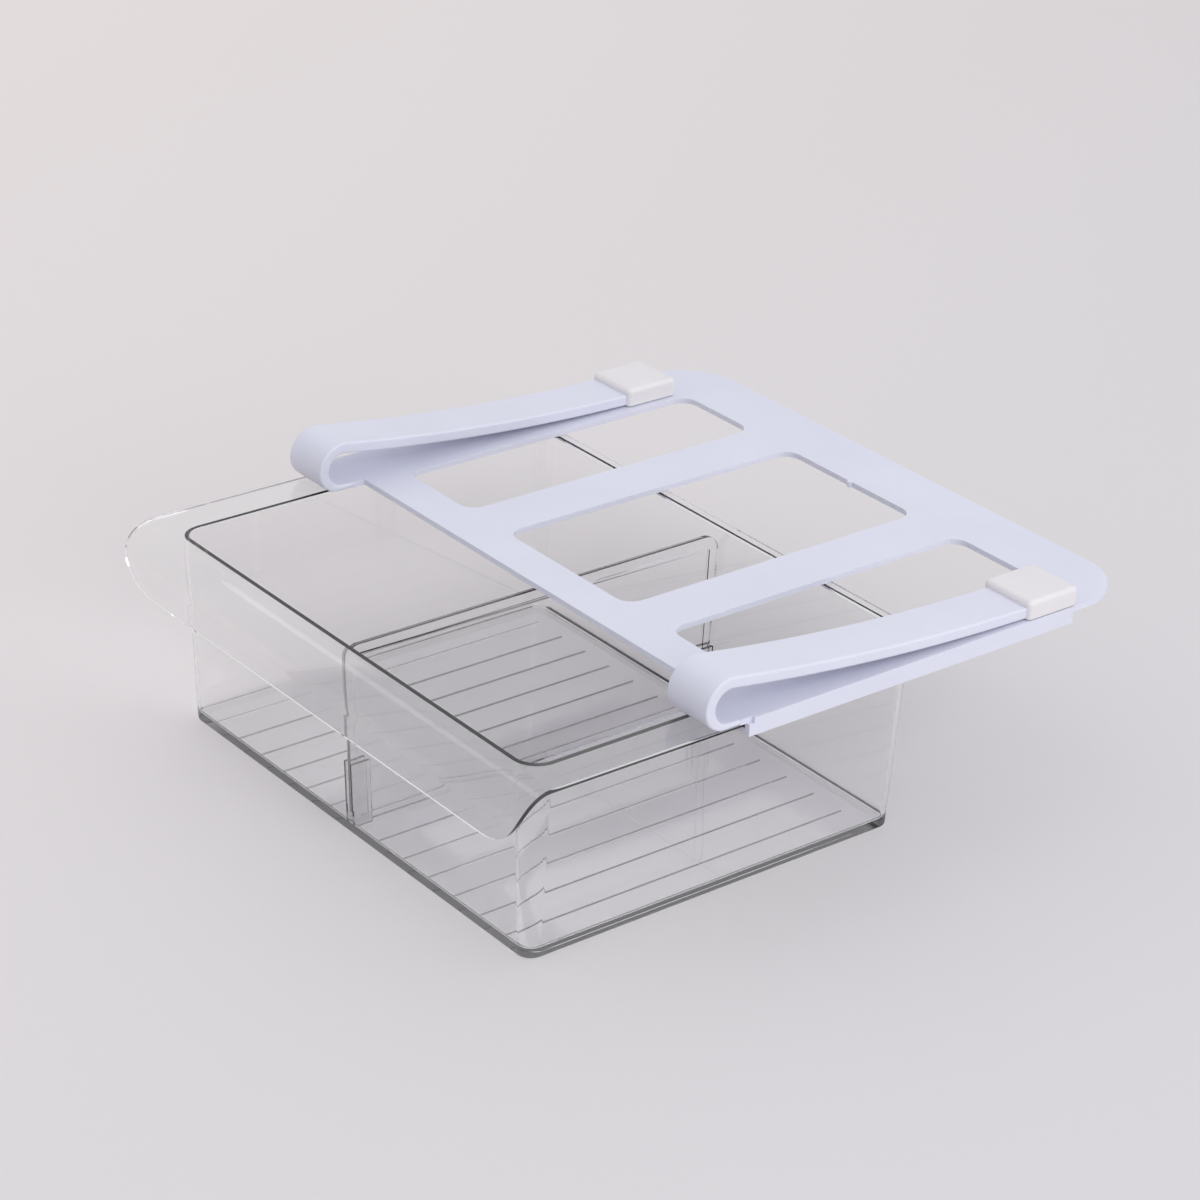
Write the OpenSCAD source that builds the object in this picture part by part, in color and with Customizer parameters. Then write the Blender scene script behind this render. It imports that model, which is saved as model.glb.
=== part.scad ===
// Drawer organizer for a fridge shelf. A clear tray with a lift-out divider slides
// in two rails under a flat grid frame, and two spring clips hold the frame on the
// front edge of a shelf. The tray is drawn here pulled out of the frame.
// X runs across the drawer, -Y is the pull side and +Z is up.
// The origin is the centre of the tray's underside.

/* [Tray] */
// Width of the tray's underside
tray_w = 256; // [240:1:290]
// Front-to-back length of the tray's underside
tray_l = 199; // [190:0.5:210]
// Height of the tray to the top of its rim
tray_h = 93; // [80:0.2:120]
// Lean of the tray's walls from upright, in degrees
wall_draft = 2.8; // [2:0.1:5]
// Thickness of the tray's walls and rim
wall_t = 2; // [1.6:0.1:2.4]
// Thickness of the tray's floor
floor_t = 3.6; // [2:0.1:4]
// Corner radius of the tray's underside
corner_r = 7; // [5:0.5:12]
// Width of the side rims that hang in the rails
side_rim_w = 16.8; // [15:0.2:22]
// Width of the rim behind the back wall
back_rim_w = 3; // [2:0.5:6]

/* [Pull lip] */
// Reach of the pull lip in front of the front wall
lip_reach = 17.8; // [17:0.2:24]
// Outer radius of the lip's bend
lip_r = 16; // [12:0.5:16]
// Height of the lip from the rim down to its lower edge
lip_drop = 26.6; // [26:0.2:34]
// Radius of the lip's lower corners
lip_corner_r = 25; // [10:1:26]

/* [Floor ribs] */
// Number of ribs on each side of the divider
ribs_per_side = 6; // [3:1:6]
// Spacing of the ribs
rib_pitch = 18.4; // [14:0.2:19]
// Width of a rib
rib_w = 0.8; // [0.6:0.1:2]
// Height of a rib above the floor
rib_h = 0.6; // [0.4:0.1:1.5]
// Length of a rib
rib_l = 181; // [150:1:182]
// Distance of the ribs' middle in front of the tray's middle
rib_shift = 6; // [0:0.5:6]

/* [Divider] */
// Thickness of the divider's border
divider_t = 2.4; // [2.2:0.1:3]
// Thickness of the divider's panel inside the border
panel_t = 1.8; // [1.2:0.1:2]
// Width of the divider's border
border_w = 5; // [3:0.5:8]
// Distance of the divider's top below the rim
divider_below_rim = 2.7; // [2:0.1:6]
// Radius of the divider's back top corner
divider_back_r = 8; // [5:0.5:12]
// Radius of the divider's front top corner
divider_front_r = 5; // [4:0.5:12]
// Height of the top of the guide ribs that hold the divider
guide_h = 34.5; // [20:0.5:60]
// Reach of a guide rib from the wall at the floor
guide_reach = 9.5; // [6:0.5:14]
// Thickness of a guide rib
guide_t = 1.6; // [1.2:0.1:2.4]

/* [Frame] */
// Distance that the tray is drawn out of the frame
drawn_out = 97; // [40:1:100]
// Front-to-back length of the frame's plate
plate_l = 218.5; // [205:0.5:230]
// Thickness of the plate
plate_t = 2.6; // [2:0.1:3.5]
// Radius of the plate's back corners
plate_corner_r = 30; // [10:1:32]
// Width of the plate's bars along its sides
side_bar_w = 32.2; // [30:0.2:38]
// Width of the plate's bar along its front
front_bar_w = 20.3; // [14:0.5:28]
// Width of the plate's bar along its back
back_bar_w = 32; // [24:0.5:40]
// Width of the two bars between the windows
cross_bar_w = 28; // [15:0.5:34]
// Width of the middle window
mid_window_w = 87.5; // [60:0.5:100]
// Corner radius of the windows
window_r = 8; // [4:0.5:12]
// Radius of the small gate stub on the middle window's back edge
gate_r = 1.5; // [1:0.5:3]

/* [Rails] */
// Length of each rail
rail_l = 183; // [150:1:185]
// Thickness of a rail's upright wall
rail_wall_t = 2.8; // [2:0.1:4]
// Thickness of a rail's lip
rail_lip_t = 2.6; // [2:0.1:4]
// Width of a rail's lip, its wall included
rail_lip_w = 8.4; // [7:0.2:14]

/* [Spring clips] */
// Width of a clip
clip_w = 25.5; // [24:0.5:28]
// Distance of a clip from the frame's side
clip_inset = 1.6; // [0:0.2:3]
// Gap for the shelf at the clip's fold
shelf_gap = 15.6; // [15:0.2:22]
// Thickness of the clip
clip_t = 5.2; // [4:0.1:6]
// Reach of the fold in front of the plate
fold_reach = 24.6; // [22:0.1:32]
// Length of the arm from the plate's front edge to the grip boot
arm_l = 153; // [120:0.5:155]
// Gap left under the arm where the boot starts
tip_gap = 0.8; // [0.6:0.1:1.2]
// Slope of the arm where the boot starts, in degrees
tip_tilt = 1; // [0:0.1:2]

/* [Grip boots] */
// Width of a grip boot
boot_w = 29; // [28:0.5:29.5]
// Length of a grip boot
boot_l = 29; // [26:0.5:36]
// Height of a grip boot
boot_h = 9; // [8.6:0.2:11]
// Radius of a boot's edges
boot_r = 2.2; // [1:0.1:2.5]

/* [Hidden] */
// Play over and under the rim in the rails
play_over = 0.4;
play_under = 0.5;
// Play beside the rim in the rails, and around the divider
play_side = 0.9;
divider_play = 0.5;
guide_play = 0.3;
// Play around the clip's hinge line, and under the boot and the divider
hinge_play = 0.3;
rest_play = 0.3;
// Height of the bevel around the tray's underside
foot_bevel = 1.5;
// Overlap that joins shapes, and the thickness of the slices that a hull spans
joined = 1;
slice = 0.01;

// The tray's half sizes at its underside, and at its rim outside the wall
half_w = tray_w / 2;
half_l = tray_l / 2;
lean = tan(wall_draft);
rim_half_w = half_w + tray_h * lean;
rim_half_l = half_l + tray_h * lean;
side_rim_x = rim_half_w + side_rim_w;
back_rim_y = rim_half_l + back_rim_w;
rim_under_z = tray_h - wall_t;
back_rim_r = 6;

// The lip's bend turns about this line, and its outline is drawn from in front
lip_y = -rim_half_l - lip_reach + lip_r;
lip_z = tray_h - lip_r;
lip_low_z = tray_h - lip_drop;

// The frame's plate lies just over the rim
plate_z = tray_h + play_over;
plate_top_z = plate_z + plate_t;
frame_x = side_rim_x + play_side + rail_wall_t;
rail_front_y = lip_y + drawn_out;
rail_overhang = 2.7;
plate_front_y = rail_front_y + rail_overhang;
plate_back_y = plate_front_y + plate_l;
rail_z = rim_under_z - play_under - rail_lip_t;

// Windows of the grid: all share their front and back edges
window_front_y = plate_front_y + front_bar_w;
window_l = plate_l - front_bar_w - back_bar_w;
side_window_in_x = mid_window_w / 2 + cross_bar_w;
side_window_w = frame_x - side_bar_w - side_window_in_x;

// The clip's fold, drawn in the plane of Y and Z
fold_y = plate_front_y - fold_reach;
fold_in_y = fold_y + clip_t;
arm_in_z = plate_top_z + shelf_gap;
fold_in_r = shelf_gap / 2;
fold_low_r = fold_in_r + plate_t;
fold_high_r = fold_in_r + clip_t;
bend_y = fold_in_y + fold_in_r;
bend_z = arm_in_z - fold_in_r;
clip_x = frame_x - clip_inset - clip_w / 2;
hinge_y = fold_y + clip_t / 2;
hinge_z = bend_z;

// The arm's underside falls from the fold to the boot in a wide arc that touches the fold's bend
arm_end_y = plate_front_y + arm_l;
tip_z = plate_top_z + tip_gap;
run_y = arm_end_y - bend_y;
run_z = tip_z - bend_z;
arm_r = (run_y * run_y + run_z * run_z - fold_in_r * fold_in_r)
        / (2 * (fold_in_r - run_y * sin(tip_tilt) - run_z * cos(tip_tilt)));
arm_y = arm_end_y + arm_r * sin(tip_tilt);
arm_z = tip_z + arm_r * cos(tip_tilt);
arm_tilt = atan((arm_y - bend_y) / (arm_z - bend_z));

// The tongue at the arm's end fills the boot's pocket
tongue_w = 22;
tongue_l = 22;
tongue_t = 2.6;
tongue_z = tip_z + 1;

// The divider stands just over the floor, and its panel's corners keep a least radius
divider_top_z = tray_h - divider_below_rim;
divider_low_z = floor_t + rest_play;
guide_x = divider_t / 2 + guide_play;
least_r = 1;

$fn = 48;

clear_tint = [0.86, 0.87, 0.90, 0.45];
frame_tint = [0.85, 0.86, 0.92];
boot_tint = [0.88, 0.86, 0.87];

// Points along an arc, from angle a0 to angle a1
function arc(cx, cy, r, a0, a1, steps = 12) =
    [for (i = [0:steps]) let (a = a0 + (a1 - a0) * i / steps) [cx + r * cos(a), cy + r * sin(a)]];

// Half length of the tray's inside at height z
function inside_half_l(z) = half_l + z * lean - wall_t;

// Distance of the divider's end from the tray's middle at height z
function divider_end_y(z) = inside_half_l(z) - divider_play;

// A rectangle with round corners about the origin
module round_rect(w, l, r) {
    square([w - 2 * r, l], center = true);
    square([w, l - 2 * r], center = true);
    for (x = [-1, 1], y = [-1, 1])
        translate([x * (w / 2 - r), y * (l / 2 - r)]) circle(r);
}

// A rectangle from y = 0 to y = l whose two far corners are round
module tab(w, l, r) {
    translate([-w / 2, 0]) square([w, l - r]);
    translate([r - w / 2, 0]) square([w - 2 * r, l]);
    for (x = [-1, 1]) translate([x * (w / 2 - r), l - r]) circle(r);
}

// Extrudes a shape drawn in Y and Z along X, with its middle at x = 0
module across(width) {
    rotate([90, 0, 90]) linear_extrude(width, center = true) children();
}

// One level slice of the tray's outside at height z, drawn in by inset
module tray_slice(z, inset) {
    grow = z * lean - inset;
    translate([0, 0, z])
        linear_extrude(slice) round_rect(tray_w + 2 * grow, tray_l + 2 * grow, corner_r + grow);
}

module tray_outside() {
    hull() {
        tray_slice(0, foot_bevel);
        tray_slice(foot_bevel, 0);
        tray_slice(tray_h - slice, 0);
    }
}

module tray_inside() {
    hull() {
        tray_slice(floor_t, wall_t);
        tray_slice(tray_h + joined, wall_t);
    }
}

// The level rim: wide on both sides, narrow behind, running into the lip in front
module tray_rim() {
    translate([0, lip_y, rim_under_z])
        linear_extrude(wall_t) tab(2 * side_rim_x, back_rim_y - lip_y, back_rim_r);
}

// The lip bends down from the rim and ends in a short upright skirt
module pull_lip() {
    intersection() {
        across(2 * side_rim_x) polygon(concat(
            arc(lip_y, lip_z, lip_r, 90, 180),
            [[lip_y - lip_r, lip_low_z], [lip_y - lip_r + wall_t, lip_low_z]],
            arc(lip_y, lip_z, lip_r - wall_t, 180, 90)));
        translate([0, lip_y, tray_h + joined]) rotate([90, 0, 0])
            linear_extrude(2 * lip_r + 2 * joined, center = true)
                mirror([0, 1]) tab(2 * side_rim_x, lip_drop + joined, lip_corner_r);
    }
}

module floor_ribs() {
    for (side = [-1, 1], i = [1:ribs_per_side])
        translate([side * i * rib_pitch, -rib_shift, floor_t + rib_h / 2])
            cube([rib_w, rib_l, rib_h + slice], center = true);
}

// A pair of upright ribs on each end wall makes a slot for the divider
module divider_guides() {
    for (side = [-1, 1], end = [-1, 1])
        translate([side * (guide_x + guide_t / 2), 0, 0]) across(guide_t) polygon([
            [end * (inside_half_l(floor_t) - guide_reach), floor_t - slice],
            [end * (inside_half_l(floor_t) + wall_t / 2), floor_t - slice],
            [end * (inside_half_l(guide_h) + wall_t / 2), guide_h],
            [end * (inside_half_l(guide_h) - guide_reach), guide_h]]);
}

module drawer_tray() {
    color(clear_tint) union() {
        difference() {
            union() {
                tray_outside();
                tray_rim();
                pull_lip();
            }
            tray_inside();
        }
        floor_ribs();
        divider_guides();
    }
}

// The divider's outline in Y and Z, drawn in from its top and ends by inset
module divider_outline(inset) {
    high_z = divider_top_z - inset;
    back_r = max(divider_back_r - inset, least_r);
    front_r = max(divider_front_r - inset, least_r);
    low_y = divider_end_y(divider_low_z) - inset;
    back_y = divider_end_y(high_z - back_r) - inset;
    front_y = divider_end_y(high_z - front_r) - inset;
    polygon(concat(
        [[-low_y, divider_low_z], [low_y, divider_low_z]],
        arc(back_y - back_r, high_z - back_r, back_r, 0, 90),
        arc(-front_y + front_r, high_z - front_r, front_r, 90, 180)));
}

module divider() {
    recess = (divider_t - panel_t) / 2;
    color(clear_tint) difference() {
        across(divider_t) divider_outline(0);
        for (side = [-1, 1])
            translate([side * divider_t / 2, 0, 0]) across(2 * recess)
                intersection() {
                    divider_outline(border_w);
                    translate([-tray_l, divider_low_z + border_w]) square([2 * tray_l, tray_h]);
                }
    }
}

module window(x, w) {
    translate([x, window_front_y + window_l / 2, plate_z + plate_t / 2])
        linear_extrude(plate_t + 2 * joined, center = true) round_rect(w, window_l, window_r);
}

// The lower leg of a clip, up to the hinge line in its fold
module clip_root() {
    difference() {
        across(clip_w) polygon(concat(
            [[plate_front_y + joined, plate_z]],
            arc(fold_y + fold_low_r, bend_z, fold_low_r, 270, 180),
            arc(bend_y, bend_z, fold_in_r, 180, 270),
            [[plate_front_y + joined, plate_top_z]]));
        translate([0, hinge_y, hinge_z]) rotate([0, 90, 0])
            cylinder(r = clip_t / 2 + hinge_play, h = clip_w + 2 * joined, center = true);
    }
}

module grid_plate() {
    color(frame_tint) union() {
        difference() {
            translate([0, plate_front_y, plate_z])
                linear_extrude(plate_t) tab(2 * frame_x, plate_l, plate_corner_r);
            window(0, mid_window_w);
            for (side = [-1, 1])
                window(side * (side_window_in_x + side_window_w / 2), side_window_w);
        }
        for (side = [-1, 1]) translate([side * clip_x, 0, 0]) clip_root();
        translate([0, window_front_y + window_l, plate_z]) cylinder(r = gate_r, h = plate_t);
    }
}

// An upright wall and an inward lip hang under the plate and carry the tray's rim
module rail() {
    translate([0, rail_front_y + rail_l / 2, 0]) {
        translate([frame_x - rail_wall_t / 2, 0, (rail_z + plate_z) / 2])
            cube([rail_wall_t, rail_l, plate_z - rail_z], center = true);
        translate([frame_x - rail_lip_w / 2, 0, rail_z + rail_lip_t / 2])
            cube([rail_lip_w, rail_l, rail_lip_t], center = true);
    }
}

module left_rail() {
    color(frame_tint) mirror([1, 0, 0]) rail();
}

module right_rail() {
    color(frame_tint) rail();
}

// The tongue at the end of a clip's arm, which can start further back inside the arm
module tongue(back = 0) {
    translate([-tongue_w / 2, arm_end_y - back, tongue_z]) cube([tongue_w, tongue_l + back, tongue_t]);
}

// The fold above the hinge line, the bowed arm and its tongue
module clip_arm() {
    union() {
        across(clip_w) polygon(concat(
            arc(bend_y, bend_z, fold_high_r, 180, 90 - arm_tilt),
            arc(arm_y, arm_z, arm_r - clip_t, 270 - arm_tilt, 270 - tip_tilt),
            arc(arm_y, arm_z, arm_r, 270 - tip_tilt, 270 - arm_tilt),
            arc(bend_y, bend_z, fold_in_r, 90 - arm_tilt, 180)));
        translate([0, hinge_y, hinge_z]) rotate([0, 90, 0])
            cylinder(r = clip_t / 2, h = clip_w, center = true);
        tongue(joined);
    }
}

module left_clip_arm() {
    color(frame_tint) translate([-clip_x, 0, 0]) clip_arm();
}

module right_clip_arm() {
    color(frame_tint) translate([clip_x, 0, 0]) clip_arm();
}

// A soft cap with round upper edges over the arm's tongue
module grip_boot() {
    difference() {
        hull() {
            for (x = [-1, 1], y = [boot_r, boot_l - boot_r])
                translate([x * (boot_w / 2 - boot_r), arm_end_y + y, plate_top_z + rest_play]) {
                    cylinder(r = boot_r, h = boot_r, $fn = 32);
                    translate([0, 0, boot_h - boot_r]) sphere(boot_r, $fn = 32);
                }
        }
        tongue();
    }
}

module left_grip_boot() {
    color(boot_tint) translate([-clip_x, 0, 0]) grip_boot();
}

module right_grip_boot() {
    color(boot_tint) translate([clip_x, 0, 0]) grip_boot();
}

drawer_tray();
divider();
grid_plate();
left_rail();
right_rail();
left_clip_arm();
right_clip_arm();
left_grip_boot();
right_grip_boot();
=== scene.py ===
# %% [markdown]
# # A clear fridge drawer in its frame
# This lesson dresses a CAD model of a fridge drawer organizer for a studio picture.
# The real one is a clear tray with a divider, a bluish-white frame with two spring clips,
# and two soft pads at the ends of the clips. The CAD model comes in first, because every
# piece made here has to lie where its solid lies.

# %% Load the frame and measure it
import math

import bmesh
import bpy
from mathutils import Matrix, Vector


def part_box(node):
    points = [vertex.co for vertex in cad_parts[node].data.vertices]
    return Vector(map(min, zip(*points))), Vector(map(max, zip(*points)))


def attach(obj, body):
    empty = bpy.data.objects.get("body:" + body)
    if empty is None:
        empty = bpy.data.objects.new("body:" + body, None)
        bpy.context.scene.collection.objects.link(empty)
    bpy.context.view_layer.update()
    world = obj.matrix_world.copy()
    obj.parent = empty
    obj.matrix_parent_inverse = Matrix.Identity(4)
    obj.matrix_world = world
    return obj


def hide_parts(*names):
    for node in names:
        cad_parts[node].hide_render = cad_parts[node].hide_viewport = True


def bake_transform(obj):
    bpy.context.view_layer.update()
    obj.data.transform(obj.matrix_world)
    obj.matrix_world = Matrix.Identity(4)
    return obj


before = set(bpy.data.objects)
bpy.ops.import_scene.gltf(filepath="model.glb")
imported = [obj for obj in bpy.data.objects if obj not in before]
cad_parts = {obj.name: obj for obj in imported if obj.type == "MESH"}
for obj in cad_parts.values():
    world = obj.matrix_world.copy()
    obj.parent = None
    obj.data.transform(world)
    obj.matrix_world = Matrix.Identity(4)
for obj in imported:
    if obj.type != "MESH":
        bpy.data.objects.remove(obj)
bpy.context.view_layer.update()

# %% [markdown]
# ## Helpers
# A piece starts as a bmesh, which is a mesh with handy operators on its edges and faces.
# When its shape is done, faces are shaded smooth, and edges that turn by more than an angle
# are marked sharp. A Weighted Normal modifier then keeps the large flat faces flat, so that
# the small round edges catch the light as they do on a moulded part.

# %% Helpers for new pieces
MM = 0.001
SHARP, FOLDED = math.radians(40), math.radians(50)
ROUND_STEPS = 3


def folds(bm, least=FOLDED):
    """The edges where the surface folds by more than an angle."""
    return [e for e in bm.edges if len(e.link_faces) == 2 and e.calc_face_angle() > least]


def round_edges(bm, edges, radius, steps=ROUND_STEPS):
    """Rounds edges by a radius."""
    return bmesh.ops.bevel(bm, geom=edges, offset=radius, offset_type="OFFSET", segments=steps,
                           profile=0.5, affect="EDGES", material=-1, clamp_overlap=True)


def block(bm, low, high):
    """Adds a box between two corners and returns its vertices."""
    made = bmesh.ops.create_cube(bm, size=1)["verts"]
    bmesh.ops.scale(bm, verts=made, vec=Vector(high) - Vector(low))
    bmesh.ops.translate(bm, verts=made, vec=(Vector(low) + Vector(high)) / 2)
    return made


def shape(name, bm):
    """Puts a bmesh into the scene as a bare object, with its faces pointing outwards."""
    bmesh.ops.recalc_face_normals(bm, faces=bm.faces)
    mesh = bpy.data.meshes.new(name)
    bm.to_mesh(mesh)
    bm.free()
    made = bpy.data.objects.new(name, mesh)
    bpy.context.scene.collection.objects.link(made)
    return made


def smooth_faces(made, material):
    """Shades an object smooth between its sharp folds and gives it its material."""
    bm = bmesh.new()
    bm.from_mesh(made.data)
    for face in bm.faces:
        face.smooth = True
    for edge in bm.edges:
        edge.smooth = len(edge.link_faces) == 2 and edge.calc_face_angle() < SHARP
    bm.to_mesh(made.data)
    bm.free()
    made.data.materials.append(material)
    made.modifiers.new("keep flats flat", "WEIGHTED_NORMAL").keep_sharp = True
    print(made.name, "has", len(made.data.polygons), "faces")
    return made


def piece(name, bm, material):
    """Turns a finished bmesh into a finished object."""
    return smooth_faces(shape(name, bm), material)


# %% [markdown]
# ## The camera
# The photograph looks down on the drawer from its right-hand front corner with a long lens.
# A camera can be placed by hand, but angles about the object are easier to read and to change,
# so its place is worked out from an azimuth, an elevation and a distance. It is then moved a
# little aside and upwards, and rolled about its line of sight.

# %% The photograph's camera
AZIMUTH, ELEVATION, ROLL = math.radians(51.285), math.radians(26.301), math.radians(2.146)
DISTANCE = 1.55023
ASIDE, ABOVE = 0.02659, 0.07649
# The lens in millimetres, and how far the camera sees in metres
LENS, SIGHT = 103.884, 20

look = Vector((-math.sin(AZIMUTH) * math.cos(ELEVATION), math.cos(AZIMUTH) * math.cos(ELEVATION),
               -math.sin(ELEVATION)))
level_right = look.cross(Vector((0, 0, 1))).normalized()
level_up = level_right.cross(look)
right = level_right * math.cos(ROLL) + level_up * math.sin(ROLL)
up = level_up * math.cos(ROLL) - level_right * math.sin(ROLL)

camera_data = bpy.data.cameras.new("photo camera")
camera_data.lens = LENS
camera_data.clip_end = SIGHT
camera = bpy.data.objects.new("photo camera", camera_data)
bpy.context.scene.collection.objects.link(camera)
turn = Matrix((right, up, -look)).transposed().to_4x4()
spot = level_right * ASIDE + level_up * ABOVE - look * DISTANCE
camera.matrix_world = Matrix.Translation(spot) @ turn
bpy.context.scene.camera = camera
bpy.context.scene.view_settings.view_transform = "Standard"
print("camera at", [round(v, 3) for v in camera.location])

# %% [markdown]
# ## The materials
# Three finishes are on the object. The tray and the divider are a clear plastic, which bends
# light like glass. The frame is a smooth bluish-white plastic that lets a little light soak in.
# The pads on the clips are a softer, warmer white rubber. Each gets fine detail from noise:
# moulded plastic is never quite even, and a perfectly even surface looks drawn.

# %% Helpers for node trees
# Most of a noise's values lie between these two
NOISE_SPAN = 0.3, 0.7


def node_tools(tree):
    """Empties a node tree and gives two short helpers to fill it."""
    tree.nodes.clear()

    def add(kind, **settings):
        """Adds a node. A setting is a socket's value, or else a choice of the node's own."""
        node = tree.nodes.new(kind)
        for key, value in settings.items():
            socket = key.replace("_", " ")
            if socket in node.inputs:
                node.inputs[socket].default_value = value
            else:
                setattr(node, key, value)
        return node

    def join(source, out, target, into):
        """Links an output of one node to an input of another."""
        tree.links.new(source.outputs[out], target.inputs[into])

    return add, join


def new_material(name):
    """A material with an empty node tree, and the helpers to fill it."""
    material = bpy.data.materials.new(name)
    material.use_nodes = True
    return material, *node_tools(material.node_tree)


def add_spread(add, join, source, out, span, target):
    """Spreads the values of one span over another."""
    spread = add("ShaderNodeMapRange", From_Min=span[0], From_Max=span[1],
                 To_Min=target[0], To_Max=target[1])
    join(source, out, spread, "Value")
    return spread


def add_noise(add, join, scale, detail):
    """A noise on the piece's own coordinates."""
    noise = add("ShaderNodeTexNoise", Scale=scale, Detail=detail)
    join(add("ShaderNodeTexCoord"), "Object", noise, "Vector")
    return noise


def add_uneven(add, join, noise_kind, low, high):
    """A value that a noise moves about between two others."""
    return add_spread(add, join, add_noise(add, join, *noise_kind), "Fac", NOISE_SPAN, (low, high))


# %% [markdown]
# ### Clear plastic
# A glass-like surface throws a black shadow unless light is let through it. Tracing every
# bent ray would take too long, so rays that test for lamps meet a plain see-through surface,
# and all other rays meet the real one. A faint, wide bump gives the flow of the moulding.
# The plastic also swallows a little light on the way through it. Light that is caught inside
# a wall turns back again and again, and in the photograph such edges are an even grey, so a
# ray that has turned back often enough ends on a plain diffuse grey, a painted shade that
# stands in for the caught light, darker in the walls than in the floor. Behind both the lip
# and the wall the floor's ribs are washed out. So a ray that has never turned back passes
# straight on once it has met a number of surfaces: a few in the floor, and more in the walls.

# %% Sizes and tints of the clear plastic
CLEAR_IOR = 1.5
# The scale and the detail of each noise
CLEAR_MOTTLE, CLEAR_FLOW = (40, 4), (18, 1)
CLEAR_ROUGH = 0.008, 0.03
FLOW_STRENGTH, FLOW_DEPTH = 0.002, 1 * MM
SHADOW_TINT = (0.975, 0.975, 0.98, 1)
DEPTH_TINT, DEPTH = (0.5, 0.49, 0.53, 1), 8
VEIL_TINT = (0.93, 0.93, 0.94, 1)
FLOOR_TO_WALL_Z = 4 * MM, 8 * MM
# The value in the floor and the value in the walls. The greys are painted shade for light caught
# inside the plastic
MOST_TURNS, MOST_SURFACES, PAINTED_SHADE_GREY = (1, 3), (3, 12), (0.6, 0.3)

# %% Clear plastic


def add_clear_surface(add, join):
    """The surface that bends light, with an uneven gloss and the flow of the moulding."""
    surface = add("ShaderNodeBsdfPrincipled", Base_Color=(1, 1, 1, 1), Transmission_Weight=1,
                  IOR=CLEAR_IOR)
    join(add_uneven(add, join, CLEAR_MOTTLE, *CLEAR_ROUGH), "Result", surface, "Roughness")
    bump = add("ShaderNodeBump", Strength=FLOW_STRENGTH, Distance=FLOW_DEPTH)
    join(add_noise(add, join, *CLEAR_FLOW), "Fac", bump, "Height")
    join(bump, "Normal", surface, "Normal")
    return surface


def clear_plastic(name):
    """The clear plastic, with the two cases in which a ray isn't bent any further."""
    material, add, join = new_material(name)
    rays = add("ShaderNodeLightPath")
    height = add("ShaderNodeSeparateXYZ")
    join(add("ShaderNodeTexCoord"), "Object", height, "Vector")

    def by_height(floor_and_wall):
        """A value that goes from the floor's to the walls' with the height."""
        return add_spread(add, join, height, "Z", FLOOR_TO_WALL_Z, floor_and_wall)

    def more_than(depth, limits):
        """One where a ray is past its limit, and otherwise nought."""
        test = add("ShaderNodeMath", operation="GREATER_THAN")
        join(rays, depth, test, 0)
        join(by_height(limits), "Result", test, 1)
        return test

    def mix(factor, out, first, second):
        """The first shader, or the second one where the factor is one."""
        shader = add("ShaderNodeMixShader")
        join(factor, out, shader, 0)
        join(first, first.outputs[0].name, shader, 1)
        join(second, second.outputs[0].name, shader, 2)
        return shader

    veil = add("ShaderNodeBsdfTransparent", Color=VEIL_TINT)
    # A plain diffuse grey: painted shade that stands in for light caught inside the plastic
    painted_shade = add("ShaderNodeBsdfDiffuse")
    join(by_height(PAINTED_SHADE_GREY), "Result", painted_shade, "Color")
    unturned = add("ShaderNodeMath", operation="COMPARE")
    join(rays, "Glossy Depth", unturned, 0)
    unturned.inputs[1].default_value = 0
    far_back = add("ShaderNodeMath", operation="MULTIPLY")
    join(more_than("Ray Depth", MOST_SURFACES), "Value", far_back, 0)
    join(unturned, "Value", far_back, 1)
    seen = mix(far_back, "Value", add_clear_surface(add, join), veil)
    seen = mix(more_than("Glossy Depth", MOST_TURNS), "Value", seen, painted_shade)
    shade = add("ShaderNodeBsdfTransparent", Color=SHADOW_TINT)
    out = add("ShaderNodeOutputMaterial")
    join(mix(rays, "Is Shadow Ray", seen, shade), "Shader", out, "Surface")
    swallow = add("ShaderNodeVolumeAbsorption", Color=DEPTH_TINT, Density=DEPTH)
    join(swallow, "Volume", out, "Volume")
    return material


tray_clear = clear_plastic("clear tray plastic")
divider_clear = clear_plastic("clear divider plastic")
print("made", tray_clear.name, "and", divider_clear.name)

# %% [markdown]
# ### Frame plastic and pad rubber
# Both are solid and pale. A short subsurface distance softens their edges, a fine noise
# breaks up the gloss, and a very fine bump gives the satin grain of the mould.

# %% White plastic and pad rubber
SOLID_IOR = 1.49
# The scale and the detail of each noise
SOLID_MOTTLE, SOLID_GLOSS, SOLID_GRAIN = (22, 3), (160, 5), (1400, 2)
ROUGH_SPREAD = 0.05
GRAIN_DEPTH, SOAK_DEPTH = 0.2 * MM, 1.5 * MM


def soft_solid(name, low_tint, high_tint, rough, grain, soak):
    """A pale solid whose tint goes between two, with a grain, that lets some light soak in."""
    material, add, join = new_material(name)
    surface = add("ShaderNodeBsdfPrincipled", IOR=SOLID_IOR, Subsurface_Weight=soak,
                  Subsurface_Radius=(1, 1, 1), Subsurface_Scale=SOAK_DEPTH)
    colour = add("ShaderNodeMix", data_type="RGBA")
    colour_in = [s for s in colour.inputs if s.type == "RGBA"]
    colour_in[0].default_value = low_tint
    colour_in[1].default_value = high_tint
    join(add_uneven(add, join, SOLID_MOTTLE, 0, 1), "Result", colour, 0)
    colour_out = next(s for s in colour.outputs if s.type == "RGBA")
    material.node_tree.links.new(colour_out, surface.inputs["Base Color"])
    gloss = add_uneven(add, join, SOLID_GLOSS, rough - ROUGH_SPREAD, rough + ROUGH_SPREAD)
    join(gloss, "Result", surface, "Roughness")
    bump = add("ShaderNodeBump", Strength=grain, Distance=GRAIN_DEPTH)
    join(add_noise(add, join, *SOLID_GRAIN), "Fac", bump, "Height")
    join(bump, "Normal", surface, "Normal")
    join(surface, "BSDF", add("ShaderNodeOutputMaterial"), "Surface")
    return material


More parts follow.
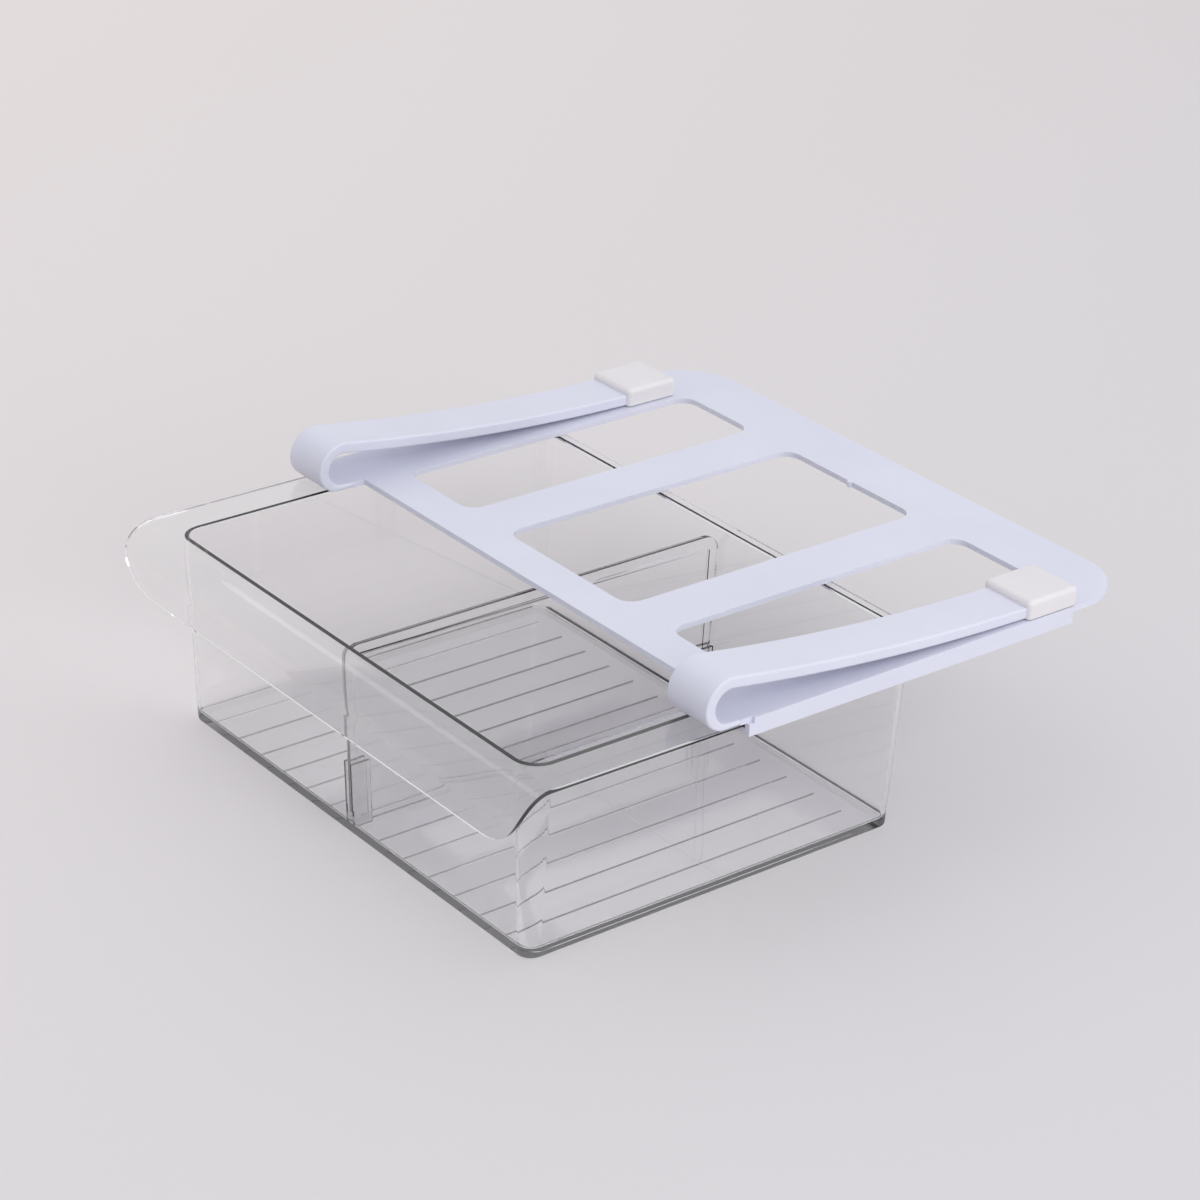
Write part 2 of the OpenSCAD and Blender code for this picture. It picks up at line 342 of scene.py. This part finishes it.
frame_plastic = soft_solid("bluish white plastic", (0.70, 0.71, 0.82, 1), (0.73, 0.74, 0.85, 1),
                           rough=0.38, grain=0.08, soak=0.15)
pad_rubber = soft_solid("milky rubber", (0.76, 0.74, 0.76, 1), (0.79, 0.77, 0.79, 1),
                        rough=0.55, grain=0.15, soak=0.3)
print("made", frame_plastic.name, "and", pad_rubber.name)

# %% [markdown]
# ## The frame
# The frame is one flat plate with three windows, a rail under each side and a stub where each
# clip begins. It could be cut by booleans, but it is plain enough to grow from one box: planes
# cut the box where the windows and rails begin, the window faces go, the holes they leave are
# bridged, and the rails are extruded downwards, so that their sides stay flush with the plate.

# %% Sizes of the frame
plate_low, plate_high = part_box("grid_plate")
rail_low, rail_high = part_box("right_rail")
FRAME_X = plate_high[0]
PLATE_Z, PLATE_T = plate_low[2], 2.6 * MM
PLATE_TOP = PLATE_Z + PLATE_T
PLATE_BACK_Y = plate_high[1]
PLATE_FRONT_Y = PLATE_BACK_Y - 218.5 * MM
WINDOW_FRONT_Y = PLATE_FRONT_Y + 20.3 * MM
WINDOW_BACK_Y = PLATE_BACK_Y - 32 * MM
MID_WINDOW_X = 43.75 * MM
SIDE_WINDOW_X = MID_WINDOW_X + 28 * MM, FRAME_X - 32.2 * MM
WINDOW_R, PLATE_R = 8 * MM, 30 * MM
WINDOW_STEPS, PLATE_STEPS = 10, 24
CLIP_IN_X, CLIP_OUT_X = FRAME_X - 27.1 * MM, FRAME_X - 1.6 * MM
STUB_Y = PLATE_FRONT_Y - 6 * MM
RAIL_WALL, RAIL_LIP_T, RAIL_LIP_W = 2.8 * MM, 2.6 * MM, 8.4 * MM
FRAME_EDGE, GATE_R = 0.8 * MM, 1.5 * MM
# Not quite the gate's whole radius, which would leave its end no flat at all
GATE_ROUND = GATE_R * 0.9
print("plate top at", round(PLATE_TOP, 5), "front edge at", round(PLATE_FRONT_Y, 5))

# %% Grow the frame from one box
# In metres: rounding may move a place by this much
HAIR = 1e-6
bm = bmesh.new()
block(bm, (-FRAME_X, PLATE_FRONT_Y, PLATE_Z), (FRAME_X, PLATE_BACK_Y, PLATE_TOP))


def cut(axis, place):
    """Cuts the whole bmesh by a plane across an axis."""
    point, normal = [0, 0, 0], [0, 0, 0]
    point[axis], normal[axis] = place, 1
    bmesh.ops.bisect_plane(bm, geom=bm.verts[:] + bm.edges[:] + bm.faces[:],
                           plane_co=point, plane_no=normal)


for place in (MID_WINDOW_X, *SIDE_WINDOW_X):
    cut(0, place)
    cut(0, -place)
cut(1, WINDOW_FRONT_Y)
cut(1, WINDOW_BACK_Y)
print("plate cut into", len(bm.faces), "faces")

# %% Open the three windows
windows = [(-SIDE_WINDOW_X[1], -SIDE_WINDOW_X[0]), (-MID_WINDOW_X, MID_WINDOW_X), SIDE_WINDOW_X]


def middle(face):
    """The middle of a face."""
    return face.calc_center_median()


def in_window(point):
    """Whether a point lies within a window, seen from above."""
    return WINDOW_FRONT_Y < point.y < WINDOW_BACK_Y and any(a < point.x < b for a, b in windows)


def edges_where(bm, test):
    """The edges of a bmesh whose two end points both pass a test."""
    return [e for e in bm.edges if all(test(v.co) for v in e.verts)]


def open_rims(low_x, high_x):
    """The open edges around one window, in the upper and in the lower face of the plate."""
    def around(p):
        return (low_x - HAIR < p.x < high_x + HAIR
                and WINDOW_FRONT_Y - HAIR < p.y < WINDOW_BACK_Y + HAIR)

    return [e for e in edges_where(bm, around) if e.is_boundary]


gone = [f for f in bm.faces if in_window(middle(f))]
bmesh.ops.delete(bm, geom=gone, context="FACES")
for low_x, high_x in windows:
    bmesh.ops.bridge_loops(bm, edges=open_rims(low_x, high_x))
print("plate with windows:", len(bm.faces), "faces")

# %% [markdown]
# The corners are rounded while they are still plain upright edges, because a bevel can't
# grow past the next cut. The rails and stubs follow, and so does the little mark in the
# middle window, where the plastic was let into the mould. The last bevel softens every
# fold that is left, except where a clip goes on from its stub.

# %% Round the corners
# Values closer than this count as the same
NEAR = 10 * HAIR


def upright(edge):
    """Whether an edge stands upright."""
    a, b = (v.co for v in edge.verts)
    return abs(a.x - b.x) < HAIR and abs(a.y - b.y) < HAIR


def near(value, *targets):
    """Whether a value is the same as one of the targets."""
    return any(abs(value - t) < NEAR for t in targets)


window_sides = [s * x for s in (-1, 1) for x in (MID_WINDOW_X, *SIDE_WINDOW_X)]
window_corners = [e for e in bm.edges if upright(e) and near(e.verts[0].co.x, *window_sides)
                  and near(e.verts[0].co.y, WINDOW_FRONT_Y, WINDOW_BACK_Y)
                  and e.calc_face_angle() > SHARP]
round_edges(bm, window_corners, WINDOW_R, WINDOW_STEPS)
back_corners = [e for e in bm.edges if upright(e) and near(e.verts[0].co.x, -FRAME_X, FRAME_X)
                and near(e.verts[0].co.y, PLATE_BACK_Y)]
round_edges(bm, back_corners, PLATE_R, PLATE_STEPS)
print("rounded", len(window_corners), "corners of windows and", len(back_corners), "at the back")

# %% Add the rails


def extrude(bm, faces, step):
    """Extrudes faces by a step and returns the new end faces."""
    made = bmesh.ops.extrude_face_region(bm, geom=faces)["geom"]
    bmesh.ops.translate(bm, verts=[v for v in made if isinstance(v, bmesh.types.BMVert)], vec=step)
    bmesh.ops.delete(bm, geom=[f for f in faces if f.is_valid], context="FACES_KEEP_BOUNDARY")
    return [f for f in made if isinstance(f, bmesh.types.BMFace)]


for place in (GATE_R, CLIP_IN_X, CLIP_OUT_X, FRAME_X - RAIL_WALL):
    cut(0, place)
    cut(0, -place)
cut(1, rail_high[1])

under_sides = [f for f in bm.faces if near(middle(f).z, PLATE_Z)
               and abs(middle(f).x) > FRAME_X - RAIL_WALL and middle(f).y < rail_high[1]]
walls = extrude(bm, under_sides, (0, 0, rail_low[2] + RAIL_LIP_T - PLATE_Z))
extrude(bm, walls, (0, 0, -RAIL_LIP_T))
for side in (-1, 1):
    inner = [f for f in bm.faces if near(middle(f).x, side * (FRAME_X - RAIL_WALL))
             and near(middle(f).z, rail_low[2] + RAIL_LIP_T / 2)]
    extrude(bm, inner, (side * (RAIL_WALL - RAIL_LIP_W), 0, 0))
print("frame with rails:", len(bm.faces), "faces")

# %% Add the stubs and the mark, and finish the frame
# How much of a face's normal has to lie along an axis
FACING = 0.9


def faces_along(face, axis):
    """Whether a face looks along an axis, either way."""
    return abs(face.normal[axis]) > FACING


fronts = [f for f in bm.faces if near(middle(f).y, PLATE_FRONT_Y)]
rail_ends = [f for f in fronts if middle(f).z < PLATE_Z]
roots = [f for f in fronts if CLIP_IN_X < abs(middle(f).x) < CLIP_OUT_X and middle(f).z > PLATE_Z]
ends = extrude(bm, rail_ends + roots, (0, rail_low[1] - PLATE_FRONT_Y, 0))
extrude(bm, [f for f in ends if middle(f).z > PLATE_Z], (0, STUB_Y - rail_low[1], 0))
gate = [f for f in bm.faces if near(middle(f).y, WINDOW_BACK_Y)
        and abs(middle(f).x) < GATE_R / 2 and faces_along(f, 1)]
gate_end = extrude(bm, gate, (0, -GATE_R, 0))
round_edges(bm, [e for f in gate_end for e in f.edges if upright(e)], GATE_ROUND)
keep_open = {e for f in bm.faces if near(middle(f).y, STUB_Y) for e in f.edges}
round_edges(bm, [e for e in folds(bm) if e not in keep_open], FRAME_EDGE)
frame_moulding = piece("frame_moulding", bm, frame_plastic)
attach(frame_moulding, "frame")
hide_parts("grid_plate", "left_rail", "right_rail")

# %% [markdown]
# ## The spring clips
# Each clip is a strip that leaves the plate, turns back over it in a round nose and runs to
# its pad. Its side view is two curves, an outer and an inner one. A point is dragged along
# each, spun through the bends, and the two are bridged into one band, which is then
# extruded across. The real clip bends in its nose.

# %% Sizes of a clip
CLIP_W, CLIP_T = 25.5 * MM, 5.2 * MM
GAP_Z, FOLD_IN_R = 15.6 * MM, 7.8 * MM
NOSE_Y = PLATE_FRONT_Y - 24.6 * MM
BEND_Y, BEND_Z = NOSE_Y + CLIP_T + FOLD_IN_R, PLATE_TOP + GAP_Z - FOLD_IN_R
LOW_R = FOLD_IN_R + PLATE_T
TIP_Y, TIP_Z, TIP_TILT = PLATE_FRONT_Y + 153 * MM, PLATE_TOP + 0.8 * MM, math.radians(1)
RUN_Y, RUN_Z = TIP_Y - BEND_Y, TIP_Z - BEND_Z
# The arm is an arc that leaves the fold smoothly and meets the pad at the tilt of the tip
ARM_R = ((RUN_Y ** 2 + RUN_Z ** 2 - FOLD_IN_R ** 2)
         / (2 * (FOLD_IN_R - RUN_Y * math.sin(TIP_TILT) - RUN_Z * math.cos(TIP_TILT))))
ARM_Y, ARM_Z = TIP_Y + ARM_R * math.sin(TIP_TILT), TIP_Z + ARM_R * math.cos(TIP_TILT)
ARM_TILT = math.atan((ARM_Y - BEND_Y) / (ARM_Z - BEND_Z))
INTO_PAD = 2 * MM
BEND_STEPS, ARM_STEPS = 14, 24
CLIP_EDGE = 1.0 * MM
CLIP_X = (CLIP_IN_X + CLIP_OUT_X) / 2
print("arm's radius", round(ARM_R, 4), "and its slope at the fold", round(math.degrees(ARM_TILT), 2))

# %% A clip's side view


def dragged_curve(bm, low_z, low_y):
    """A curve in the plane of Y and Z, drawn by dragging and spinning one point."""
    end = bmesh.ops.create_vert(bm, co=(0, STUB_Y, low_z))["vert"][0]
    edges = []

    def drag_to(y, z):
        nonlocal end
        made = bmesh.ops.extrude_vert_indiv(bm, verts=[end])
        end = made["verts"][0]
        end.co = Vector((0, y, z))
        edges.extend(made["edges"])

    def spin(middle_y, middle_z, angle, steps):
        nonlocal end
        known = set(bm.edges)
        made = bmesh.ops.spin(bm, geom=[end], cent=(0, middle_y, middle_z), axis=(1, 0, 0),
                              dvec=(0, 0, 0), angle=angle, steps=steps, use_duplicate=False)
        end = next(g for g in made["geom_last"] if isinstance(g, bmesh.types.BMVert))
        edges.extend(e for e in bm.edges if e not in known)

    drag_to(low_y, low_z)
    spin(low_y, BEND_Z, -math.pi / 2, BEND_STEPS)
    spin(BEND_Y, BEND_Z, -math.pi / 2 - ARM_TILT, BEND_STEPS)
    spin(ARM_Y, ARM_Z, ARM_TILT - TIP_TILT, ARM_STEPS)
    drag_to(TIP_Y + INTO_PAD, end.co.z - INTO_PAD * math.sin(TIP_TILT))
    return edges


def spring_clip(name, middle_x):
    """One clip as a band between its outer and inner curve, extruded across."""
    bm = bmesh.new()
    outer = dragged_curve(bm, PLATE_Z, NOSE_Y + LOW_R)
    inner = dragged_curve(bm, PLATE_TOP, BEND_Y)
    bmesh.ops.bridge_loops(bm, edges=outer + inner)
    bmesh.ops.translate(bm, verts=bm.verts, vec=(middle_x - CLIP_W / 2, 0, 0))
    made = bmesh.ops.extrude_face_region(bm, geom=bm.faces[:] + bm.edges[:] + bm.verts[:])["geom"]
    bmesh.ops.translate(bm, verts=[v for v in made if isinstance(v, bmesh.types.BMVert)],
                        vec=(CLIP_W, 0, 0))
    bmesh.ops.recalc_face_normals(bm, faces=bm.faces)
    ends = {e for f in bm.faces if near(middle(f).y, STUB_Y, TIP_Y + INTO_PAD)
            and faces_along(f, 1) for e in f.edges}
    round_edges(bm, [e for e in folds(bm) if e not in ends], CLIP_EDGE)
    return piece(name, bm, frame_plastic)


for side_name, side in (("left", -1), ("right", 1)):
    clip = spring_clip(f"{side_name}_spring_clip", side * CLIP_X)
    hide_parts(f"{side_name}_clip_arm")
    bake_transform(clip)

# %% [markdown]
# ## The grip pads
# A soft pad sits over the end of each clip and stands a little proud of it all round.
# It is a box with generous round edges on top and at its sides, and a small round edge
# below, where it meets the plate.

# %% Both pads
PAD_R, PAD_FOOT_R = 2.2 * MM, 0.8 * MM
PAD_STEPS = 6


def folds_at(bm, z):
    """The folds whose two end points both lie at a height."""
    return [e for e in folds(bm) if all(near(v.co.z, z) for v in e.verts)]


for side_name in ("left", "right"):
    low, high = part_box(f"{side_name}_grip_boot")
    bm = bmesh.new()
    block(bm, low, high)
    below = folds_at(bm, low[2])
    round_edges(bm, [e for e in folds(bm) if e not in below], PAD_R, PAD_STEPS)
    round_edges(bm, folds_at(bm, low[2]), PAD_FOOT_R)
    pad = piece(f"{side_name}_grip_pad", bm, pad_rubber)
    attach(pad, f"{side_name}_arm")
    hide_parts(f"{side_name}_grip_boot")

# %% [markdown]
# ## The clear tray
# The tray is one clear moulding, and light shows every face inside it, so it has to be one
# closed skin with no walls left inside. Five plain shapes are put together by exact booleans:
# the outside, the rim with its lip, the ribs and the guides are joined, and the hollow is cut
# away. The outside and the hollow are stacks of level loops with round corners.

# %% Sizes of the tray
TRAY_W, TRAY_L, RIM_Z = 256 * MM, 199 * MM, 93 * MM
LEAN = math.tan(math.radians(2.8))
WALL_T, FLOOR_T, CORNER_R = 2 * MM, 3.6 * MM, 7 * MM
FOOT_R, FLOOR_FILLET, MOUTH_R = 1.2 * MM, 2.5 * MM, 0.8 * MM
RIM_X = TRAY_W / 2 + RIM_Z * LEAN + 16.8 * MM
RIM_BACK_Y = TRAY_L / 2 + RIM_Z * LEAN + 3 * MM
RIM_BACK_R = 6 * MM
LIP_R, LIP_DROP, LIP_CORNER_R = 16 * MM, 26.6 * MM, 25 * MM
LIP_Y = -TRAY_L / 2 - RIM_Z * LEAN - 17.8 * MM + LIP_R
CORNER_STEPS, QUARTER_STEPS = 12, 5
print("rim reaches", round(RIM_X, 5), "to each side and back to", round(RIM_BACK_Y, 5))

# %% Level loops and stacks of them


def level_loop(bm, z, inset):
    """A rectangle with round corners at a height, drawn in by inset from the leaning wall."""
    grow = z * LEAN - inset
    made = bmesh.ops.create_grid(bm, x_segments=1, y_segments=1, size=1)["verts"]
    bmesh.ops.scale(bm, verts=made, vec=(TRAY_W / 2 + grow, TRAY_L / 2 + grow, 1))
    bmesh.ops.translate(bm, verts=made, vec=(0, 0, z))
    bmesh.ops.bevel(bm, geom=made, offset=CORNER_R + grow, offset_type="OFFSET", profile=0.5,
                    segments=CORNER_STEPS, affect="VERTICES", material=-1)
    face = next(f for f in bm.faces if near(middle(f).z, z) and len(f.verts) > 4)
    edges = face.edges[:]
    bmesh.ops.delete(bm, geom=[face], context="FACES_ONLY")
    return edges


def stacked(name, levels):
    """A closed body through a stack of (height, inset) loops."""
    bm = bmesh.new()
    loops = [level_loop(bm, z, inset) for z, inset in levels]
    for lower, upper in zip(loops, loops[1:]):
        bmesh.ops.bridge_loops(bm, edges=lower + upper)
    bmesh.ops.holes_fill(bm, edges=loops[0] + loops[-1], sides=0)
    return shape(name, bm)


def quarter(middle_z, middle_inset, radius):
    """(height, inset) along the quarter circle from straight below the middle to its side."""
    turns = [-math.pi / 2 + math.pi / 2 * i / QUARTER_STEPS for i in range(QUARTER_STEPS + 1)]
    return [(middle_z + radius * math.sin(a), middle_inset - radius * math.cos(a)) for a in turns]


# %% The outside and the hollow
outside_levels = quarter(FOOT_R, FOOT_R, FOOT_R)
outside_levels.append((RIM_Z - WALL_T / 2, 0))
clear_tray = stacked("clear_tray", outside_levels)

hollow_levels = quarter(FLOOR_T + FLOOR_FILLET, WALL_T + FLOOR_FILLET, FLOOR_FILLET)
# A radius below nought turns the circle round, so that the mouth opens outwards
mouth = quarter(RIM_Z - MOUTH_R, WALL_T - MOUTH_R, -MOUTH_R)[::-1]
hollow_levels += mouth
hollow_levels.append((RIM_Z + MOUTH_R, mouth[-1][1]))
hollow = stacked("hollow", hollow_levels)
print("mouth of the hollow", [(round(z, 5), round(i, 5)) for z, i in mouth])

# %% [markdown]
# The rim is a flat plate, and the lip in front is its front edge, spun down through a quarter
# turn and then extruded straight. Each row of the lip is drawn in by the formula of a circle,
# which gives the two big round corners at its lower edge.

# %% The rim and the bend of the lip
LIP_MIDDLE_Z = RIM_Z - LIP_R
LIP_LOW_Z = RIM_Z - LIP_DROP
CORNER_MIDDLE_Z = LIP_LOW_Z + LIP_CORNER_R
RIM_BACK_STEPS, LIP_BEND_STEPS, LIP_CORNER_STEPS = 8, 40, 20
RIM_EDGE = 0.8 * MM


def lip_half_width(z):
    """Half the lip's width at a height: full above, round at the lower corners."""
    below = min(max(CORNER_MIDDLE_Z - z, 0), LIP_CORNER_R)
    return RIM_X - LIP_CORNER_R + math.sqrt(LIP_CORNER_R ** 2 - below ** 2)


bm = bmesh.new()
block(bm, (-RIM_X, LIP_Y, RIM_Z - WALL_T), (RIM_X, RIM_BACK_Y, RIM_Z))
back = [e for e in bm.edges if upright(e) and near(e.verts[0].co.y, RIM_BACK_Y)]
round_edges(bm, back, RIM_BACK_R, RIM_BACK_STEPS)
front = next(f for f in bm.faces if near(middle(f).y, LIP_Y))
bend = bmesh.ops.spin(bm, geom=[front, *front.edges, *front.verts], axis=(1, 0, 0),
                      cent=(0, LIP_Y, LIP_MIDDLE_Z), dvec=(0, 0, 0), angle=math.pi / 2,
                      steps=LIP_BEND_STEPS, use_duplicate=False)
for vert in bm.verts:
    forward, rise = LIP_Y - vert.co.y, vert.co.z - LIP_MIDDLE_Z
    if forward > HAIR:
        row_z = LIP_MIDDLE_Z + LIP_R * math.cos(math.atan2(forward, rise))
        vert.co.x = math.copysign(lip_half_width(row_z), vert.co.x)
print("lip reaches forward to", round(LIP_Y - LIP_R, 5))

# %% The straight part of the lip
end_faces = [g for g in bend["geom_last"] if isinstance(g, bmesh.types.BMFace)]
first_turn = math.asin((CORNER_MIDDLE_Z - LIP_MIDDLE_Z) / LIP_CORNER_R)
row_z = LIP_MIDDLE_Z
for i in range(1, LIP_CORNER_STEPS + 1):
    turn_by = first_turn + (math.pi / 2 - first_turn) * i / LIP_CORNER_STEPS
    next_z = CORNER_MIDDLE_Z - LIP_CORNER_R * math.sin(turn_by)
    end_faces = extrude(bm, end_faces, (0, 0, next_z - row_z))
    for vert in end_faces[0].verts:
        vert.co.x = math.copysign(lip_half_width(next_z), vert.co.x)
    row_z = next_z
bmesh.ops.recalc_face_normals(bm, faces=bm.faces)
round_edges(bm, folds(bm), RIM_EDGE)
rim = shape("rim", bm)
print("lip reaches down to", round(row_z, 5))

# %% [markdown]
# Low ribs run along the floor, and a pair of upright ribs on each end wall holds the divider.
# They sink a little into the floor and the wall, so that the boolean has something to join.

# %% The ribs
RIBS_PER_SIDE, RIB_PITCH, RIB_W, RIB_H, RIB_L = 6, 18.4 * MM, 0.8 * MM, 0.6 * MM, 181 * MM
RIB_SHIFT, SUNK = 6 * MM, 0.8 * MM
RIB_END_R, RIB_TOP_R = RIB_W * 0.4, RIB_W * 0.3
RIB_TOP_Z = FLOOR_T + RIB_H

bm = bmesh.new()
for side in (-1, 1):
    for i in range(1, RIBS_PER_SIDE + 1):
        x = side * i * RIB_PITCH
        block(bm, (x - RIB_W / 2, -RIB_SHIFT - RIB_L / 2, FLOOR_T - SUNK),
              (x + RIB_W / 2, -RIB_SHIFT + RIB_L / 2, RIB_TOP_Z))
round_edges(bm, [e for e in bm.edges if upright(e)], RIB_END_R)
round_edges(bm, folds_at(bm, RIB_TOP_Z), RIB_TOP_R)
ribs = shape("ribs", bm)
print("ribs have", len(ribs.data.polygons), "faces")

# %% The guides
DIVIDER_T, GUIDE_PLAY, GUIDE_T = 2.4 * MM, 0.3 * MM, 1.6 * MM
GUIDE_TOP_Z, GUIDE_REACH = 34.5 * MM, 9.5 * MM
GUIDE_EDGE = GUIDE_T * 0.2


def inside_y(z):
    """Half the tray's inside length at a height."""
    return TRAY_L / 2 + z * LEAN - WALL_T


bm = bmesh.new()
for side in (-1, 1):
    for end in (-1, 1):
        x = side * (DIVIDER_T / 2 + GUIDE_PLAY + GUIDE_T / 2)
        y_in = end * (inside_y(FLOOR_T) - GUIDE_REACH)
        y_out = end * (inside_y(FLOOR_T) + SUNK)
        made = block(bm, (x - GUIDE_T / 2, min(y_in, y_out), FLOOR_T - SUNK),
                     (x + GUIDE_T / 2, max(y_in, y_out), GUIDE_TOP_Z))
        upper = [v for v in made if near(v.co.z, GUIDE_TOP_Z)]
        bmesh.ops.translate(bm, verts=upper, vec=(0, end * (GUIDE_TOP_Z - FLOOR_T) * LEAN, 0))
round_edges(bm, folds(bm), GUIDE_EDGE)
guides = shape("guides", bm)
print("guides have", len(guides.data.polygons), "faces")

# %% Put the five shapes together as one skin


def combine(target, other, operation):
    """Joins or cuts with an exact boolean, and keeps only the result."""
    step = target.modifiers.new(operation, "BOOLEAN")
    step.object, step.operation, step.solver = other, operation, "EXACT"
    depsgraph = bpy.context.evaluated_depsgraph_get()
    result = bpy.data.meshes.new_from_object(target.evaluated_get(depsgraph))
    target.modifiers.clear()
    target.data = result
    bpy.data.objects.remove(other)
    print(operation, "leaves", len(result.polygons), "faces")


combine(clear_tray, rim, "UNION")
combine(clear_tray, hollow, "DIFFERENCE")
combine(clear_tray, ribs, "UNION")
combine(clear_tray, guides, "UNION")
smooth_faces(clear_tray, tray_clear)
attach(clear_tray, "drawer")
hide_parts("drawer_tray")

# %% [markdown]
# ## The divider
# The divider is a thin clear panel with a slightly thicker border and round upper corners.
# An inset makes the border, and a second, tiny one sinks the panel by a soft step.

# %% The divider
DIVIDER_LOW_Z, DIVIDER_TOP_Z = FLOOR_T + 0.3 * MM, RIM_Z - 2.7 * MM
END_PLAY, BORDER_W, STEP = 0.5 * MM, 5 * MM, 0.3 * MM
BACK_R, FRONT_R = 8 * MM, 5 * MM
DIVIDER_CORNER_STEPS, DIVIDER_EDGE_STEPS = 8, 2
# The step's own slope folds by less than this and is left as it is
STEEP = math.radians(70)

bm = bmesh.new()
low_y = inside_y(DIVIDER_LOW_Z) - END_PLAY
block(bm, (-DIVIDER_T / 2, -low_y, DIVIDER_LOW_Z), (DIVIDER_T / 2, low_y, DIVIDER_TOP_Z))
for vert in [v for v in bm.verts if near(v.co.z, DIVIDER_TOP_Z)]:
    radius = BACK_R if vert.co.y > 0 else FRONT_R
    vert.co.y = math.copysign(inside_y(DIVIDER_TOP_Z - radius) - END_PLAY, vert.co.y)
for end, radius in ((1, BACK_R), (-1, FRONT_R)):
    top_corner = edges_where(bm, lambda p, end=end: near(p.z, DIVIDER_TOP_Z) and p.y * end > low_y)
    round_edges(bm, [e for e in top_corner if e.calc_length() < 2 * DIVIDER_T], radius,
                DIVIDER_CORNER_STEPS)
flats = [f for f in bm.faces if faces_along(f, 0)]
bmesh.ops.inset_individual(bm, faces=flats, thickness=BORDER_W, depth=0)
bmesh.ops.inset_individual(bm, faces=flats, thickness=STEP, depth=-STEP)
round_edges(bm, folds(bm, STEEP), STEP, DIVIDER_EDGE_STEPS)
divider = piece("clear_divider", bm, divider_clear)
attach(divider, "divider_panel")
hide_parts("divider")

# %% [markdown]
# ## Floor and light
# The photograph has a pale seamless floor and a soft shadow. The floor's colour has light
# painted into it: a cool grey, painted warmer and lighter towards one side as if more light
# fell there. It lies a hair below the tray, so that the two don't share a plane. A large soft
# lamp on the right gives the shadow, a small weak one on the left glints in the bend of the
# lip, and the world fills in the rest. The world is darker towards the horizon: clear plastic
# shows its edges only where they bend light from somewhere darker.

# %% The floor
FLOOR_HALF, FLOOR_DROP = 8, 0.3 * MM
PAPER_ROUGH, PAPER_SHINE = 0.9, 0.2
PAPER_PAINTED_DIM, PAPER_PAINTED_LIT = (0.68, 0.668, 0.688, 1), (0.86, 0.805, 0.79, 1)
# The way along which the painted light grows, and where on it the turn begins and ends, in metres
PAINTED_LIGHT_WAY, PAINTED_LIGHT_SPAN = (-0.93, -0.376, 0), (-0.4, 0.9)

bm = bmesh.new()
bmesh.ops.create_grid(bm, x_segments=1, y_segments=1, size=FLOOR_HALF)
bmesh.ops.translate(bm, verts=bm.verts, vec=(0, 0, -FLOOR_DROP))
floor = shape("floor", bm)
floor_paper, add, join = new_material("floor paper")
paper = add("ShaderNodeBsdfPrincipled", Roughness=PAPER_ROUGH, Specular_IOR_Level=PAPER_SHINE)
along = add("ShaderNodeVectorMath", operation="DOT_PRODUCT")
along.inputs[1].default_value = PAINTED_LIGHT_WAY
# Painted light: the paper's colour is painted lighter and warmer along one way
painted_light_tone = add("ShaderNodeValToRGB")
painted_light_tone.color_ramp.elements[0].color = PAPER_PAINTED_DIM
painted_light_tone.color_ramp.elements[1].color = PAPER_PAINTED_LIT
join(add("ShaderNodeTexCoord"), "Object", along, 0)
join(add_spread(add, join, along, "Value", PAINTED_LIGHT_SPAN, (0, 1)), "Result", painted_light_tone, "Fac")
join(painted_light_tone, "Color", paper, "Base Color")
join(paper, "BSDF", add("ShaderNodeOutputMaterial"), "Surface")
floor.data.materials.append(floor_paper)
print("floor", round(FLOOR_HALF * 2, 2), "m wide, of", floor_paper.name)

# %% The lamps


def soft_lamp(name, place, aim, size, power):
    """A square area lamp at a place, aimed at a point."""
    lamp_data = bpy.data.lights.new(name, "AREA")
    lamp_data.shape, lamp_data.size, lamp_data.energy = "SQUARE", size, power
    lamp = bpy.data.objects.new(name, lamp_data)
    bpy.context.scene.collection.objects.link(lamp)
    lamp.location = place
    lamp.rotation_euler = (Vector(aim) - Vector(place)).to_track_quat("-Z", "Y").to_euler()
    print(name, "of", size, "m and", power, "W")


soft_lamp("key on the right", place=(2.4, 0.5, 1.6), aim=(0, 0, 0.05), size=1.8, power=28)
soft_lamp("glint on the left", place=(-1.8, -0.1, 1.87), aim=(0, -0.11, 0.09), size=0.5, power=0.5)

# %% The world
HORIZON, HIGH_SKY = (0.69, 0.69, 0.71, 1), (0.82, 0.82, 0.84, 1)
# The upward part of a direction from which the sky is at its lightest
HIGH_PART = 0.6

world = bpy.data.worlds.new("studio")
bpy.context.scene.world = world
world.use_nodes = True
add, join = node_tools(world.node_tree)
axes = add("ShaderNodeSeparateXYZ")
sky = add("ShaderNodeValToRGB")
sky.color_ramp.elements[0].color = HORIZON
sky.color_ramp.elements[1].position = HIGH_PART
sky.color_ramp.elements[1].color = HIGH_SKY
glow = add("ShaderNodeBackground", Strength=1)
join(add("ShaderNodeTexCoord"), "Generated", axes, "Vector")
join(axes, "Z", sky, "Fac")
join(sky, "Color", glow, "Color")
join(glow, "Background", add("ShaderNodeOutputWorld"), "Surface")
print("world:", world.name)
